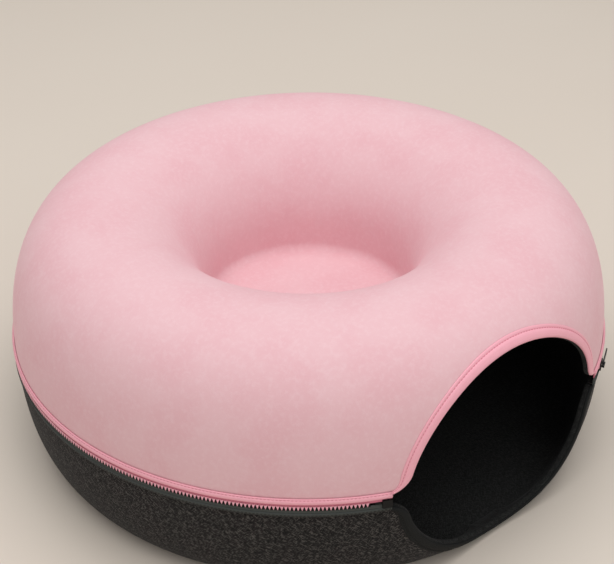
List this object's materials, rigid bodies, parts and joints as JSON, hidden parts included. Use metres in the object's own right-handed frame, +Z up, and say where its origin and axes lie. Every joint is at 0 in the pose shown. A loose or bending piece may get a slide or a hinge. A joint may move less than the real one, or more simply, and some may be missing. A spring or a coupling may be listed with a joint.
{
  "type": "pet tunnel bed",
  "caption": "Round felt pet bed: a lined tray and a ring-shaped cover zipped together, with an open well on top and a round side entrance to the ring tunnel inside",
  "frame": {"origin": "on the floor, at the centre of the ring", "axes": "+Z up; the entrance faces -Y"},
  "size_m": [0.6044, 0.5843, 0.25],
  "materials": {
    "pink_felt": "smooth brushed felt, pale pink",
    "charcoal_felt": "heather felt, charcoal with grey fibres",
    "black_lining": "matt needle-punched lining, black",
    "pink_binding": "woven binding tape, pink",
    "charcoal_binding": "woven binding tape, dark grey",
    "pink_tape": "woven zip tape, pink",
    "charcoal_tape": "woven zip tape, dark grey",
    "pink_plastic": "moulded zip teeth, pink",
    "black_plastic": "moulded zip fittings, black",
    "black_enamel": "black enamelled zinc"
  },
  "bodies": {
    "tray": {"tray_shell": "charcoal_felt", "tray_lining": "black_lining", "tray_rim_binding": "charcoal_binding", "tray_sill_binding": "charcoal_binding", "tray_zip_tape": "charcoal_tape", "tray_zip_teeth": "black_plastic", "tray_end_stop": "black_plastic", "retaining_box": "black_plastic"},
    "cover": {"cover_shell": "pink_felt", "cover_lining": "black_lining", "cover_rim_binding": "pink_binding", "cover_arch_binding": "pink_binding", "cover_zip_tape": "pink_tape", "cover_zip_teeth": "pink_plastic", "cover_end_stop": "pink_plastic", "insertion_pin": "black_plastic"},
    "slider": {"slider_body": "black_enamel", "slider_bridge": "black_enamel"},
    "tab": {"pull_tab": "black_enamel"}
  },
  "joints": [
    {"name": "slider_travel", "type": "hinge", "parent": "tray", "child": "slider", "pos_m": [0, 0, 0.112], "axis": [0, 0, 1], "range_deg": [0, 299.66], "deforming": ["tray_zip_teeth", "cover_zip_teeth", "insertion_pin"]},
    {"name": "tab_swing", "type": "hinge", "parent": "slider", "child": "tab", "pos_m": [0.15826, -0.26014, 0.112], "axis": [0, 0, -1], "range_deg": [0, 175]},
    {"name": "cover_lift", "type": "slide", "parent": "tray", "child": "cover", "axis": [0, 0, 1], "range_m": [0, 0.3], "deforming": ["insertion_pin", "cover_zip_teeth"]}
  ]
}
